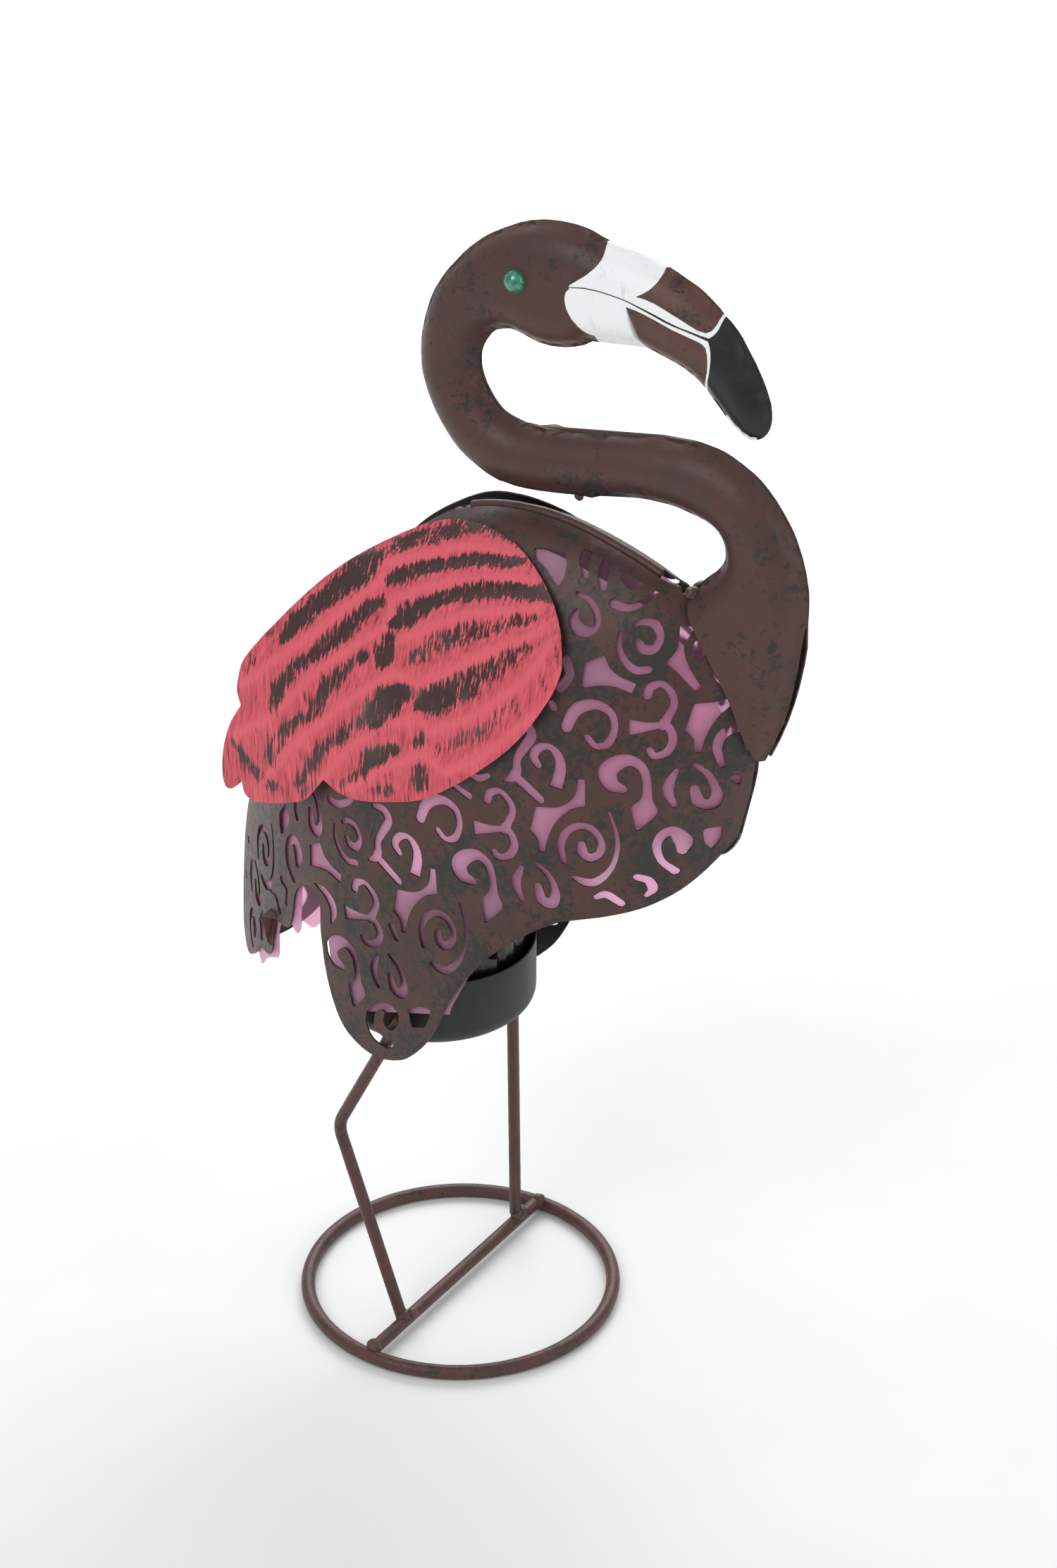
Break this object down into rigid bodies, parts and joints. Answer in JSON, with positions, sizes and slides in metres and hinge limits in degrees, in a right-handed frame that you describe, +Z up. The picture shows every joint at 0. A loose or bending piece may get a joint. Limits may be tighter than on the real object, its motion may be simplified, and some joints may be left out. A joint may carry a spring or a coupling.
{
  "type": "garden statue",
  "caption": "Standing flamingo garden figure of pierced and pressed sheet metal on a round rod ring, with an open cup inside the body for a light.",
  "frame": {"origin": "centre of the statue's footprint rectangle, on the ground under the ring", "axes": "+X the way the bird faces, +Y towards its left side, +Z up"},
  "size_m": [0.3628, 0.1914, 0.6614],
  "materials": {
    "base_ring_steel": "mottled rust-brown paint, worn",
    "rod_steel": "mottled rust-brown paint, worn at the welds",
    "cup_steel": "dark grey satin paint",
    "black_film": "crumpled glossy black film",
    "body_steel": "rust-brown patina with black-green mottling, bright worn cut edges",
    "pink_film": "frosted translucent pink film",
    "wing_steel": "dark brown with pink dry-brushed feather ridges",
    "neck_steel": "rust-brown patina, beak painted white and black",
    "eye_glass": "polished green glass"
  },
  "bodies": {
    "root": {"ring_base": "base_ring_steel", "cross_bar": "rod_steel", "leg_right": "rod_steel", "leg_left": "rod_steel", "cup": "cup_steel", "cup_lining": "black_film", "spine_rod": "rod_steel", "body_panel_right": "body_steel", "body_panel_left": "body_steel", "liner_right": "pink_film", "liner_left": "pink_film", "wing_right": "wing_steel", "wing_left": "wing_steel", "neck_head_right": "neck_steel", "neck_head_left": "neck_steel", "eye_right": "eye_glass", "eye_left": "eye_glass"}
  },
  "joints": []
}
